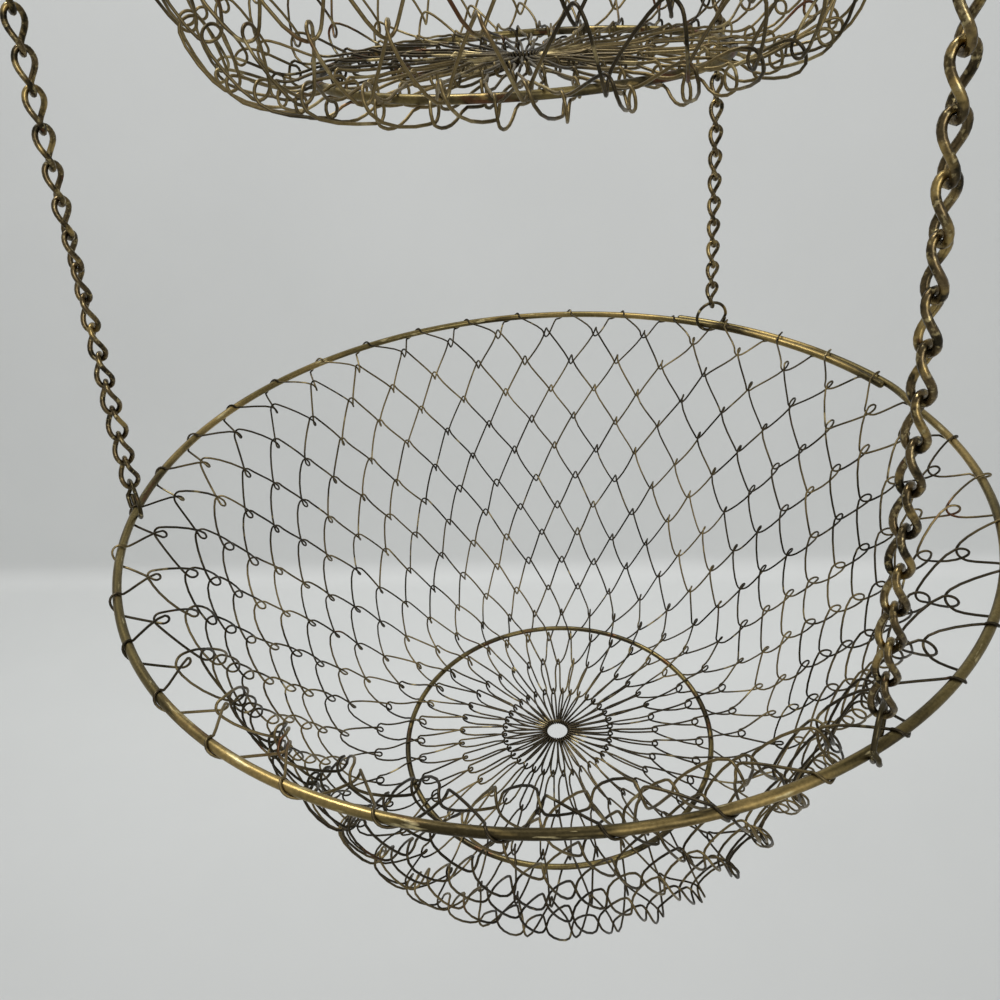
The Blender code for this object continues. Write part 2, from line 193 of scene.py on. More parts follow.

# Each finish, named apart from the frame's own materials: its base, dark, golden and pale colours, the pale
# one being rubbed wear and painted glints, the levels at which the golden, pale and rusted patches begin, how
# rough it is where rubbed and where dull, the scales of its patches and its grain, and whether the patches
# follow a round wire.
FINISHES = {
    "rim_brass": (("brass", "brass_dark", "brass_gold", "brass_wear_and_glint"),
                  (0.56, 0.64, 0.67), (0.30, 0.50), 150, 1100, True),
    "base_ring_brass": (("ring", "chain_dark", "brass", "brass_gold"),
                        (0.52, 0.62, 0.60), (0.34, 0.52), 150, 1100, True),
    "hook_brass": (("brass", "brass_dark", "brass_gold", "brass_wear_and_glint"),
                   (0.56, 0.66, 0.64), (0.30, 0.50), 60, 900, False),
    "link_brass": (("chain", "chain_dark", "brass_gold", "chain_wear_and_glint"),
                   (0.58, 0.60, 0.70), (0.24, 0.42), 240, 1500, False),
    "jump_ring_brass": (("ring", "brass_dark", "brass_gold", "brass_wear_and_glint"),
                        (0.64, 0.66, 0.66), (0.30, 0.50), 120, 900, False),
    "net_bronze": (("net", "chain_dark", "net_gold", "net_wear_and_glint"),
                   (0.54, 0.64, 0.68), (0.34, 0.55), 30, 1500, False),
    "net_golden_bronze": (("net", "chain_dark", "net_gold", "net_wear_and_glint"),
                          (0.47, 0.60, 0.63), (0.34, 0.55), 30, 1500, False),
}

# The floor and the wall behind, with the round between them and their turn about Z.
FLOOR_Z, WALL_Y, WALL_TOP, FLOOR_END, HALF_WIDTH = -2.28, 1.8, 3.5, -7.0, 6.0
FILLET, ASKEW = 0.07, math.radians(-6.6)

# Shares of the pale paint that make painted shade on the near floor and on the wall, the Y over which the
# painted shade on the floor fades, the heights over which it becomes wall, and the paint's own unevenness as
# a ramp.
NEAR_PAINTED_SHADE, WALL_PAINTED_SHADE = 0.79, 0.88
NEAR_SHADE_RAMP, WALL_SHADE_RAMP, PAINT_RAMP = (0.45, 1.35), (FLOOR_Z + 0.01, FLOOR_Z + 0.05), (0.3, 0.7, 0.97, 1.0)

# Each lamp's name, place, aim, size and power, and the light all round.
LAMPS = (
    ("overhead_lamp", (-0.6, 0.6, 1.3), (0, 0, -0.7), 0.8, 30),
    ("front_lamp", (0.9, -2.6, 0.9), (0, 0, -0.6), 1.6, 30),
)
WORLD_COLOUR, WORLD_STRENGTH = (0.64, 0.64, 0.635, 1), 0.75

# The photo's camera, fitted to the photo: its place, pitch and roll, lens and sensor in millimetres.
CAMERA_PLACE = (-0.0175, -0.2798, -0.5953)
CAMERA_PITCH, CAMERA_ROLL = math.radians(34.10), math.radians(-4.96)
CAMERA_LENS, CAMERA_SENSOR = 31.6, 36

# Points of a mesh nearer to each other than this are one.
MERGE_GAP = 1e-6


def length(label, text, value):
    return FloatProperty(name=label, description=text, default=value, min=0,
                         subtype="DISTANCE", unit="LENGTH")


def colour(label, text, value):
    return FloatVectorProperty(name=label, description=text, default=value, size=3, min=0, max=1,
                               subtype="COLOR")


class BasketSizes(bpy.types.PropertyGroup):
    """Thicknesses of the wires and sizes of the links."""

    hook_wire: length("Hook wire", "Thickness of the hook", 0.0036)
    top_ring_wire: length("Top ring wire", "Thickness of the ring that the chains gather at", 0.0030)
    rim_wire: length("Rim wire", "Thickness of the rims", 0.0030)
    base_wire: length("Base ring wire", "Thickness of the rings threaded in the nets' floors", 0.0024)
    centre_wire: length("Centre ring wire", "Thickness of the rings at the nets' centres", 0.0012)
    jump_wire: length("Jump ring wire", "Thickness of the jump rings", 0.0015)
    link_wire: length("Link wire", "Thickness of the chain links", 0.0018)
    link_width: length("Link width", "Outer width of a chain link", 0.0080)
    net_wire: length("Net wire", "Thickness of the net's wire", 0.00085)
    slack: length("Slack", "How uneven the net's hooks stand", 0.00045)


class BasketColours(bpy.types.PropertyGroup):
    """Colours of the metals and of the stage."""

    brass: colour("Aged brass", "Rims, top ring and hook", (0.20, 0.155, 0.062))
    brass_dark: colour("Tarnish", "Dark patches on the brass", (0.055, 0.043, 0.020))
    brass_gold: colour("Golden brass", "Golden stretches of the brass", (0.36, 0.26, 0.10))
    # Pale patches of rubbed brass, which also serve as painted glints.
    brass_wear_and_glint: colour("Worn brass", "Pale places where the brass is rubbed", (0.66, 0.56, 0.30))
    # Brightest stretches of the nets' wire: rubbed wear and painted highlights.
    net_wear_and_glint: colour("Pale wire", "Brightest stretches of the nets' wire", (0.40, 0.32, 0.16))
    rust: colour("Rust", "Red-brown spots", (0.13, 0.060, 0.030))
    chain: colour("Chain brass", "Chain links", (0.150, 0.110, 0.055))
    chain_dark: colour("Chain tarnish", "Dark places on chains, nets and base rings", (0.034, 0.028, 0.016))
    # Pale random patches on the links: rubbed wear and painted glints.
    chain_wear_and_glint: colour("Chain glint", "Rubbed edges of the chain links", (0.42, 0.34, 0.17))
    ring: colour("Dark brass", "Jump rings and base rings", (0.085, 0.068, 0.036))
    net: colour("Bronze wire", "The nets' wire", (0.058, 0.046, 0.028))
    net_gold: colour("Golden wire", "Rubbed stretches of the nets' wire", (0.22, 0.165, 0.075))
    floor: colour("Floor", "Floor and backdrop", (0.865, 0.880, 0.872))


def deselect():
    if bpy.context.object and bpy.context.object.mode != "OBJECT":
        bpy.ops.object.mode_set(mode="OBJECT")
    bpy.ops.object.select_all(action="DESELECT")


def pick(obj):
    deselect()
    obj.select_set(True)
    bpy.context.view_layer.objects.active = obj


def close_up(obj):
    """Merges what lies on itself, turns the faces outwards and shades them smooth."""
    pick(obj)
    bpy.ops.object.mode_set(mode="EDIT")
    bpy.ops.mesh.select_all(action="SELECT")
    bpy.ops.mesh.remove_doubles(threshold=MERGE_GAP)
    bpy.ops.mesh.normals_make_consistent(inside=False)
    bpy.ops.object.mode_set(mode="OBJECT")
    bpy.ops.object.shade_smooth()


def draw_wire(name, paths, diameter, sides, closed=True, radii=None):
    """Wire along each path, as one mesh. radii are shares of the thickness along an open path."""
    deselect()
    bpy.ops.curve.primitive_bezier_curve_add()
    obj = bpy.context.object
    obj.name = obj.data.name = name
    curve = obj.data
    curve.splines.clear()
    curve.dimensions = "3D"
    curve.bevel_depth = diameter / 2
    curve.bevel_resolution = (sides - 4) // 2
    curve.use_fill_caps = not closed
    for path in paths:
        spline = curve.splines.new("POLY")
        spline.points.add(len(path) - 1)
        spline.points.foreach_set("co", np.c_[path, np.ones(len(path))].ravel())
        if radii is not None:
            spline.points.foreach_set("radius", radii)
        spline.use_cyclic_u = closed
    pick(obj)
    bpy.ops.object.convert(target="MESH")
    obj = bpy.context.object
    close_up(obj)
    return obj


def round_ends(path, diameter):
    """The path with a rounded end at each side, and the wire's share of its thickness along it."""
    path = np.asarray(path, float)
    steps = np.array((0.30, 0.60, 0.85, 0.97))
    first = path[0] - path[1]
    last = path[-1] - path[-2]
    first /= np.linalg.norm(first)
    last /= np.linalg.norm(last)
    start = path[0] + first * (steps[::-1, None] * diameter / 2)
    end = path[-1] + last * (steps[:, None] * diameter / 2)
    taper = np.sqrt(1 - steps**2)
    return np.r_[start, path, end], np.r_[taper[::-1], np.ones(len(path)), taper]


def paint(obj, finish):
    obj.data.materials.clear()
    obj.data.materials.append(material(finish))


def dress(obj, finish, body, node):
    """Finishes a piece that rides on one body and stands for one node."""
    paint(obj, finish)
    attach(obj, body)
    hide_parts(node)


# Materials.

class Nodes:
    """A new material's node tree with short ways to add and join nodes."""

    def __init__(self, name):
        self.material = bpy.data.materials.new(name)
        self.material.use_nodes = True
        self.tree = self.material.node_tree
        self.shader = self.tree.nodes["Principled BSDF"]
        self.place = self.add("ShaderNodeTexCoord").outputs["Object"]

    def add(self, kind, **values):
        node = self.tree.nodes.new(kind)
        for key, value in values.items():
            setattr(node, key, value)
        return node

    def feed(self, socket, value):
        """Joins another node's output to the socket, or sets the socket's own value."""
        if isinstance(value, bpy.types.NodeSocket):
            self.tree.links.new(value, socket)
        else:
            socket.default_value = value

    def noise(self, scale, detail, place=None):
        node = self.add("ShaderNodeTexNoise")
        node.inputs["Scale"].default_value = scale
        node.inputs["Detail"].default_value = detail
        node.inputs["Roughness"].default_value = NOISE_ROUGHNESS
        self.feed(node.inputs["Vector"], place or self.place)
        return node.outputs["Fac"]

    def span(self, value, low, high, start=0.0, end=1.0):
        node = self.add("ShaderNodeMapRange")
        node.clamp = True
        for key, number in (("From Min", low), ("From Max", high), ("To Min", start), ("To Max", end)):
            node.inputs[key].default_value = number
        self.feed(node.inputs["Value"], value)
        return node.outputs["Result"]

    def mix(self, share, a, b, blend="MIX"):
        node = self.add("ShaderNodeMix", data_type="RGBA", blend_type=blend)
        self.feed(node.inputs["Factor"], share)
        for index, value in ((MIX_A, a), (MIX_B, b)):
            self.feed(node.inputs[index], value if isinstance(value, bpy.types.NodeSocket) else (*value, 1))
        return node.outputs[MIX_RESULT]

    def math(self, operation, *values):
        node = self.add("ShaderNodeMath", operation=operation)
        for socket, value in zip(node.inputs, values):
            self.feed(socket, value)
        return node.outputs[0]

    def moved(self, place, share):
        """The same places read from another part of the noise."""
        node = self.add("ShaderNodeMapping")
        node.inputs["Location"].default_value = (share, share * 1.7, -share)
        self.feed(node.inputs["Vector"], place)
        return node.outputs["Vector"]

    def apart(self):
        """The place's X, Y and Z."""
        node = self.add("ShaderNodeSeparateXYZ")
        self.feed(node.inputs[0], self.place)
        return node.outputs

    def along_rounds(self):
        """Places round the Z axis as (turn, radius, height), with the turn drawn in."""
        x, y, z = self.apart()
        turn = self.math("ARCTAN2", y, x)
        squares = self.math("ADD", self.math("MULTIPLY", x, x), self.math("MULTIPLY", y, y))
        joined = self.add("ShaderNodeCombineXYZ")
        self.feed(joined.inputs["X"], self.math("MULTIPLY", turn, DRAWN_OUT))
        self.feed(joined.inputs["Y"], self.math("SQRT", squares))
        self.feed(joined.inputs["Z"], z)
        return joined.outputs[0]

    def bump(self, height, strength, distance):
        node = self.add("ShaderNodeBump")
        node.inputs["Strength"].default_value = strength
        node.inputs["Distance"].default_value = distance
        self.feed(node.inputs["Height"], height)
        self.feed(self.shader.inputs["Normal"], node.outputs["Normal"])


def metal(name, colours, levels, rough, scale, grain, round_wire):
    """Aged metal wire: tarnished and golden patches, pale patches that are rubbed places and painted glints,
    rust and fine grain.
    """
    chosen = bpy.context.scene.basket_colours
    base, dark, gold, pale = (getattr(chosen, key) for key in colours)
    made = Nodes(name)
    made.shader.inputs["Metallic"].default_value = 1.0
    place = made.along_rounds() if round_wire else made.place
    tarnish = made.noise(scale, 5, place)
    tone = made.mix(made.span(tarnish, *TARNISH_RAMP), dark, base)
    # The second patch, in the pale colour, is rubbed wear and painted glints.
    for (size, detail, shift, below, above), level, shade in zip(PATCHES, levels, (gold, pale, chosen.rust)):
        patches = made.noise(scale * size, detail, made.moved(place, shift))
        tone = made.mix(made.span(patches, level - below, level + above), tone, shade)
    fine = made.noise(grain, 3)
    tone = made.mix(1.0, tone, made.span(fine, *GRAIN_RAMP), "MULTIPLY")
    made.feed(made.shader.inputs["Base Color"], tone)
    made.feed(made.shader.inputs["Roughness"], made.span(tarnish, *RUBBED_RAMP, rough[1], rough[0]))
    made.bump(fine, *GRAIN_BUMP)
    return made.material


def material(name):
    return bpy.data.materials.get(name) or metal(name, *FINISHES[name])


# Where things are, from the frame's own boxes.

def middle_of(node):
    low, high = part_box(node)
    return (low + high) / 2


def rim_height(tier):
    return middle_of(tier + "_rim").z


def floor_height(tier):
    return middle_of(tier + "_base_ring").z


def jump_place(tier, side):
    """A rim's jump ring: its centre and the way it faces. Round a doubled rim it stands further out."""
    centre = middle_of(f"{tier}_jump_ring_{side}")
    tangent = Vector((-math.sin(SIDES[side]), math.cos(SIDES[side]), 0))
    outward = tangent.cross(UP)
    start, lap = RIM_LAPS[tier]
    turn = JUMP_TURN
    if (math.degrees(SIDES[side]) - start) % 360 < lap:
        turn = DOUBLED_JUMP_TURN
        centre = centre + outward * DOUBLED_JUMP_OUT
    return centre, math.cos(turn) * tangent + math.sin(turn) * outward


def square_to(direction, axis):
    return (direction - direction.dot(axis) * axis).normalized()


def hangers(side):
    """What a side's chains hang from and on.

    For the top and each tier it gives the jump ring's (centre, downward axis, facing), and for each tier's
    chain run its (top, bottom, facing of the ring above, facing of the ring below).
    """
    order = TOP_ORDER[side] * TOP_SPACING / TOP_RING_RADIUS
    tangent = Vector((0, math.cos(order), math.sin(order)))
    above = middle_of("top_jump_ring_" + side)
    down = (jump_place("upper", side)[0] - above).normalized()
    facing = square_to(tangent, down)
    start = above + down * JUMP_RADIUS
    found = {"top": (above, down, facing)}
    for tier in TIER_ABOVE:
        centre, next_way = jump_place(tier, side)
        down = (centre - start).normalized()
        next_facing = square_to(next_way, down)
        found[tier] = (centre, down, next_facing)
        found[tier + "_run"] = (start, centre - down * JUMP_RADIUS, facing, next_facing)
        start = centre + down * JUMP_RADIUS
        facing = next_facing
    return found


# Shapes.

def circle(count):
    """Points on a circle of radius 1 in the XY plane."""
    turns = np.arange(count) * 2 * math.pi / count
    return np.c_[np.cos(turns), np.sin(turns), 0 * turns]


def hook_path(sizes):
    """The S of the hook, smooth and evenly stepped."""
    mouth_in, eye_in, drop = 0.0110, 0.0075, 0.0480
    wire = sizes.hook_wire
    mouth, eye = mouth_in + wire / 2, eye_in + wire / 2
    tip_turn, eye_turn = math.radians(-25), math.radians(225)
    turns = np.linspace(math.pi - tip_turn, 0, 30)
    crook = np.c_[mouth * np.cos(turns), 0 * turns, -mouth_in + mouth * np.sin(turns)]
    turns = np.linspace(math.pi, math.pi + eye_turn, 30)
    bend = np.c_[eye * np.cos(turns), 0 * turns, eye_in - drop + eye * np.sin(turns)]
    t = np.linspace(0, 1, 16)[1:-1]
    shank = np.c_[mouth - (eye + mouth) * (3 - 2 * t) * t * t, 0 * t,
                  crook[-1][2] + (bend[0][2] - crook[-1][2]) * t]
    return np.r_[crook, shank, bend]


def smooth(share):
    share = np.clip(share, 0, 1)
    return share * share * (3 - 2 * share)


def lapped_ring(radius, wire, count, start, lap, ease, across, along_axis):
    """A ring of wire in the XY plane whose ends lap beside each other, as an open path."""
    angle = np.linspace(start, start + 2 * math.pi + lap, count)
    side = smooth((angle - start - 2 * math.pi + ease) / ease)
    out = radius + side * wire * across
    return np.c_[out * np.cos(angle), out * np.sin(angle), side * wire * along_axis]


def rim_lap(tier, angles, sizes):
    """How far out the rim's wire has moved at each angle, and how much wider two wires make it there."""
    start, lap = (math.radians(a) for a in RIM_LAPS[tier])
    beside = sizes.rim_wire * LAP_ACROSS
    past = np.mod(angles - start, 2 * math.pi)
    doubled = past < lap
    moved = smooth(1 - (2 * math.pi - past) / LAP_EASE) * beside
    return np.where(doubled, beside / 2, moved), np.where(doubled, beside / 2, 0)


def placed(path, centre, x_axis, z_axis):
    """A path in the XY plane moved to a centre, with its X and Z axes along the ones given."""
    x = x_axis.normalized()
    z = square_to(z_axis, x)
    axes = Matrix((x, z.cross(x), z))
    return np.asarray(path) @ np.array(axes) + np.array(centre)


def link_path(length_between, width):
    """A twisted oval loop, upright along Z: its lower end is turned a quarter from its upper end."""
    turns = np.arange(LINK_POINTS) * 2 * math.pi / LINK_POINTS + math.pi / LINK_POINTS
    c, s = np.cos(turns), np.sin(turns)
    x = width / 2 * np.sign(c) * np.abs(c) ** LINK_SQUARENESS
    z = length_between / 2 * s
    twist = math.pi / 2 * smooth(0.5 - z / length_between)
    return np.c_[x * np.cos(twist), x * np.sin(twist), z]


class Net:
    """The rows of hooks of one net, and the wire of each course between two rows."""

    def __init__(self, tier, sizes):
        self.tier = tier
        self.cells, self.courses, match = NETS[tier]
        self.sizes = sizes
        rows = np.arange(self.courses + 1)
        index = np.interp(rows, match[0], match[1])
        self.heel = int(np.argmin(np.abs(index - HEEL_ROW)))
        self.ring_row = np.interp(BASE_RING_ROW, match[1], match[0])
        self.rim_height = rim_height(tier)
        self.floor_height = floor_height(tier)
        depth = self.rim_height - self.floor_height
        full_rows = range(len(ROW_RADIUS))
        self.radius = RIM_RADIUS[tier] * np.interp(index, full_rows, ROW_RADIUS)
        self.radius[-1] = CENTRE_RADIUS
        self.height = self.rim_height - depth / ROW_DEPTH[-1] * np.interp(index, full_rows, ROW_DEPTH)
        steps = np.where(index[1:] > LAST_WALL_ROW, FLOOR_STEP, WALL_STEP)
        steps[0] = RIM_STEP
        self.phase = FIRST_PHASE + np.r_[0, np.cumsum(steps)]
        self.random = np.random.RandomState(sum(map(ord, tier)))
        slope = np.c_[np.gradient(self.radius), np.gradient(self.height)]
        slope[0] = self.radius[1] - self.radius[0], self.height[1] - self.height[0]
        slope[-1] = self.radius[-1] - self.radius[-2], self.height[-1] - self.height[-2]
        self.slope = slope / np.linalg.norm(slope, axis=1)[:, None]
        self.cell = 2 * math.pi * self.radius / self.cells
        self.nodes = [self.node_row(row) for row in rows]

    def node_row(self, row):
        """Each node of a row: its place, and its along, down and outward directions."""
        slack = self.sizes.slack * min(1.0, self.cell[row] / SLACK_CELL) * (row < self.courses)
        shift, sink = self.random.normal(0, slack, (2, self.cells))
        turn = 2 * math.pi * (np.arange(self.cells) + self.phase[row]) / self.cells
        angle = turn + shift / self.radius[row]
        if row == 0:
            sink = sink * 0
            self.rim_angles = angle
        c, s, o = np.cos(angle), np.sin(angle), np.zeros(self.cells)
        along = np.c_[-s, c, o]
        dr, dz = self.slope[row]
        down = np.c_[dr * c, dr * s, o + dz]
        outward = np.cross(down, along)
        place = np.c_[self.radius[row] * c, self.radius[row] * s, o + self.height[row]] + down * sink[:, None]
        return place, along, down, outward

    def zone(self, row):
        if row > self.heel:
            return "floor"
        return "low" if row >= self.heel - LOW_ROWS else "wall"

    def hooks(self, row, sign, tip, shape, count=8):
        """The hooks of a row, whose tips lie beyond it: sign -1 for a course's tops and 1 for its bottoms."""
        place, along, down, outward = (part[:, None] for part in self.nodes[row])
        share = np.linspace(0, 1, count)
        turn = np.radians(shape.start + (shape.end - shape.start) * share)[None, :, None]
        tip, reach, lift, advance = (np.broadcast_to(a, self.cells)[:, None, None]
                                     for a in (tip, shape.reach, shape.lift, shape.advance))
        sideways = advance * (share**shape.skew - 0.5)[None, :, None]
        return (place + sign * (down * (tip - reach + reach * np.sin(turn)) + outward * lift * np.cos(turn))
                + along * sideways)

    def zone_hooks(self, row, sign, shapes, tips, apart, uneven):
        """The hooks of a row in its zone's shape, smaller where its cells are narrow."""
        cell = self.cell[row]
        zone = self.zone(row)
        shape = shapes[zone]
        size = np.clip(cell / FULL_CELL, LEAST_SIZE, 1)
        lean = min(1, max(FLOOR_LEAN if zone == "floor" else 0, 0.5 * cell / (apart + LEAN_ROOM)))
        tip = tips[row > ROWS_NEAR_RIM] * size * uneven[0]
        return self.hooks(row, sign, tip, shape._replace(
            reach=shape.reach * size, lift=shape.lift * size * uneven[1], advance=shape.advance * lean))

    def rim_hooks(self):
        """The first course's tops, round the rim."""
        round_rim = (self.sizes.rim_wire + self.sizes.net_wire) / 2
        loose = np.clip(self.random.normal(LOOSE, LOOSE_SPREAD, self.cells), 0, MOST_LOOSE)
        shift, extra = rim_lap(self.tier, self.rim_angles, self.sizes)
        shape = Hook(reach=round_rim + extra + loose, lift=round_rim + loose * 0.25 + extra * 0.15,
                     advance=0.0078, skew=2.2, start=-40, end=220)
        return self.hooks(0, -1, shift + round_rim + extra + loose, shape, count=13)

    def centre_hooks(self):
        """The last course's bottoms, round the centre ring."""
        round_centre = (self.sizes.centre_wire + self.sizes.net_wire) / 2
        shape = Hook(reach=round_centre, lift=round_centre, advance=0.0003, skew=1.0, start=-25, end=205)
        return self.hooks(self.courses, 1, round_centre, shape, count=7)

    def leg(self, before, after, shares, stiff):
        """Points on the wire between two hooks, which it leaves and meets in line with them."""
        start, end = before[:, -1], after[:, 0]
        span = np.linalg.norm(end - start, axis=1)[:, None]
        leave, meet = (np.stack([d / np.linalg.norm(d) for d in way])
                       for way in (start - before[:, -2], after[:, 1] - end))
        leave, meet = leave * span * stiff[0], meet * span * stiff[1]
        bow = self.random.normal(0, 0.5 * self.sizes.slack, (self.cells, 1, 3))
        t = np.asarray(shares)[None, :, None]
        return (start[:, None] * (1 + 2 * t) * (1 - t) ** 2 + leave[:, None] * t * (1 - t) ** 2
                + end[:, None] * t * t * (3 - 2 * t) + meet[:, None] * t * t * (t - 1)
                + bow * np.sin(math.pi * t))

    def pass_base_ring(self, leg, side):
        """Moves a leg's points near the base ring above it or below it, by side 1 or -1."""
        clear = (self.sizes.base_wire + self.sizes.net_wire) / 2 + RING_ROOM
        off = np.hypot(leg[..., 0], leg[..., 1]) - BASE_RADIUS[self.tier]
        near = np.exp(-((off / RING_REACH) ** 2))
        leg[..., 2] += near * (self.floor_height + side * clear - leg[..., 2])

    def course(self, number):
        """The closed path of one course's wire, from the row above it to the row below it."""
        above = number - 1
        apart = np.hypot(self.radius[number] - self.radius[above],
                         self.height[number] - self.height[above])
        uneven = 1 + self.random.normal(0, UNEVEN_HOOKS, (4, self.cells))
        leave, meet = LEG_STIFF["floor" if number > self.heel else self.zone(above)]
        if number == 1:
            top = self.rim_hooks()
            leave = RIM_STIFF
        else:
            top = self.zone_hooks(above, -1, TOP_HOOKS, TOP_TIPS, apart, uneven[0::2])
        if number == self.courses:
            bottom = self.centre_hooks()
            meet = CENTRE_STIFF
        else:
            bottom = self.zone_hooks(number, 1, BOTTOM_HOOKS, BOTTOM_TIPS, apart, uneven[1::2])
        ring_here = above < self.ring_row < number
        shares = RING_LEG_SHARES if ring_here else LEG_SHARES
        fall = self.leg(top, bottom, shares, (leave, meet))
        rise = self.leg(bottom, np.roll(top, -1, 0), shares, (meet, RISE_SHARE * leave))
        if ring_here:
            self.pass_base_ring(fall, -1)
            self.pass_base_ring(rise, 1)
        return np.concatenate((top, fall, bottom, rise), 1).reshape(-1, 3)


def link_places(run, links, side, first, step, random):
    """Where each link of a chain run stands as matrices, the first one and a step from one to the next."""
    top, bottom, facing, next_facing = run
    up = (top - bottom).normalized()
    x_axis = square_to(facing, up)
    y_axis = up.cross(x_axis)
    last = square_to(next_facing, up)
    turn = math.atan2(last.dot(y_axis), last.dot(x_axis)) - math.pi / 2
    turn = (turn + math.pi / 2) % math.pi - math.pi / 2
    way, first_share, last_share = CHAIN_TURNS[side]
    if way < 0:
        turn -= math.copysign(math.pi, turn)
    for i in range(links):
        share = smooth((i / (links - 1) - first_share) / (last_share - first_share))
        angle = turn * share + random.normal(0, UNEVEN_TURN)
        x = math.cos(angle) * x_axis + math.sin(angle) * y_axis
        axes = Matrix((x, up.cross(x), up)).transposed().to_4x4()
        yield Matrix.Translation(top - up * (i * step + first)) @ axes


def draw_chain(name, run, links, side, sizes, random):
    """One run of links as one mesh."""
    seat = (sizes.jump_wire + sizes.link_wire) / 2 + PLAY
    hold = sizes.link_wire + PLAY
    between = ((run[1] - run[0]).length + 2 * seat + (links - 1) * hold) / links
    path = link_path(between, sizes.link_width - sizes.link_wire)
    pattern = draw_wire("link", [path], sizes.link_wire, sides=8)
    parts = []
    for place in link_places(run, links, side, between / 2 - seat, between - hold, random):
        pick(pattern)
        bpy.ops.object.duplicate(linked=False)
        link = bpy.context.object
        link.data.transform(place)
        parts.append(link)
    bpy.data.objects.remove(pattern)
    pick(parts[0])
    for link in parts:
        link.select_set(True)
    bpy.ops.object.join()
    chain = bpy.context.object
    chain.name = chain.data.name = name
    return chain


class BASKET_OT_hook(bpy.types.Operator):
    """Makes the hook that the set hangs from"""

    bl_idname = "object.basket_hook"
    bl_label = "Hook"

    def execute(self, context):
        sizes = context.scene.basket_sizes
        path, radii = round_ends(hook_path(sizes), sizes.hook_wire)
        hook = draw_wire("hook_wire", [path], sizes.hook_wire, sides=14, closed=False, radii=radii)
        dress(hook, "hook_brass", "hook", "hanging_hook")
        return {"FINISHED"}


class BASKET_OT_rings(bpy.types.Operator):
    """Makes the top ring, the rims, the base rings and the centre rings"""

    bl_idname = "object.basket_rings"
    bl_label = "Rims and rings"

    def execute(self, context):
        sizes = context.scene.basket_sizes
        path = placed(circle(72) * TOP_RING_RADIUS, middle_of("top_ring"), UP, X_AXIS)
        top_ring = draw_wire("top_ring_wire", [path], sizes.top_ring_wire, sides=14)
        dress(top_ring, "hook_brass", "ring", "top_ring")
        for tier, radius in RIM_RADIUS.items():
            centre = Vector((0, 0, rim_height(tier)))
            start, lap = (math.radians(a) for a in RIM_LAPS[tier])
            ring = lapped_ring(radius, sizes.rim_wire, 270, start, lap, LAP_EASE, LAP_ACROSS, 0)
            path, radii = round_ends(placed(ring, centre, X_AXIS, UP), sizes.rim_wire)
            rim = draw_wire(tier + "_rim_wire", [path], sizes.rim_wire, sides=14, closed=False, radii=radii)
            dress(rim, "rim_brass", tier + "_tier", tier + "_rim")
            floor = Vector((0, 0, floor_height(tier)))
            path = placed(circle(144) * BASE_RADIUS[tier], floor, X_AXIS, UP)
            base = draw_wire(tier + "_base_ring_wire", [path], sizes.base_wire, sides=12)
            dress(base, "base_ring_brass", tier + "_base", tier + "_base_ring")
            path = placed(circle(48) * CENTRE_RADIUS, floor, X_AXIS, UP)
            hub = draw_wire(tier + "_centre_ring_wire", [path], sizes.centre_wire, sides=8)
            dress(hub, "net_bronze", tier + "_base", tier + "_centre_ring")
        return {"FINISHED"}


class BASKET_OT_jump_rings(bpy.types.Operator):
    """Makes the jump rings on the top ring and on the rims"""

    bl_idname = "object.basket_jump_rings"
    bl_label = "Jump rings"

    def execute(self, context):
        sizes = context.scene.basket_sizes
        for side in SIDES:
            places = hangers(side)
            for tier in ("top", *TIER_ABOVE):
                centre, down, facing = places[tier]
                ring = lapped_ring(JUMP_RADIUS, sizes.jump_wire, 46, **JUMP_LAP)
                path, radii = round_ends(placed(ring, centre, -down, facing), sizes.jump_wire)
                made = draw_wire(f"{tier}_jump_wire_{side}", [path], sizes.jump_wire, sides=10,
                                 closed=False, radii=radii)
                body = "upper_tier" if tier == "top" else tier + "_tier"
                dress(made, "jump_ring_brass", body, f"{tier}_jump_ring_{side}")
        return {"FINISHED"}


class BASKET_OT_chains(bpy.types.Operator):
    """Makes the nine runs of twisted chain links"""

    bl_idname = "object.basket_chains"
    bl_label = "Chains"

    def execute(self, context):
        sizes = context.scene.basket_sizes
        random = np.random.RandomState(CHAIN_SEED)
        for side in SIDES:
            places = hangers(side)
            for tier, links in LINKS.items():
                run = places[tier + "_run"]
                chain = draw_chain(f"{tier}_chain_links_{side}", run, links, side, sizes, random)
                paint(chain, "link_brass")
                if tier == "upper":
                    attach(chain, "upper_tier")
                else:
                    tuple(run[0])
                    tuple(run[1])
                    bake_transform(chain)
                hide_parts(f"{tier}_chain_{side}")
        return {"FINISHED"}


class BASKET_OT_nets(bpy.types.Operator):
    """Makes the three nets of hooked wire"""

    bl_idname = "object.basket_nets"
    bl_label = "Nets"

    def execute(self, context):
        sizes = context.scene.basket_sizes
        for tier in NETS:
            net = Net(tier, sizes)
            paths = [net.course(number) for number in range(1, net.courses + 1)]
            made = draw_wire(tier + "_net_wires", paths, sizes.net_wire, sides=6)
            paint(made, "net_bronze" if tier == "lower" else "net_golden_bronze")
            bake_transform(made)
            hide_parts(tier + "_net")
        return {"FINISHED"}


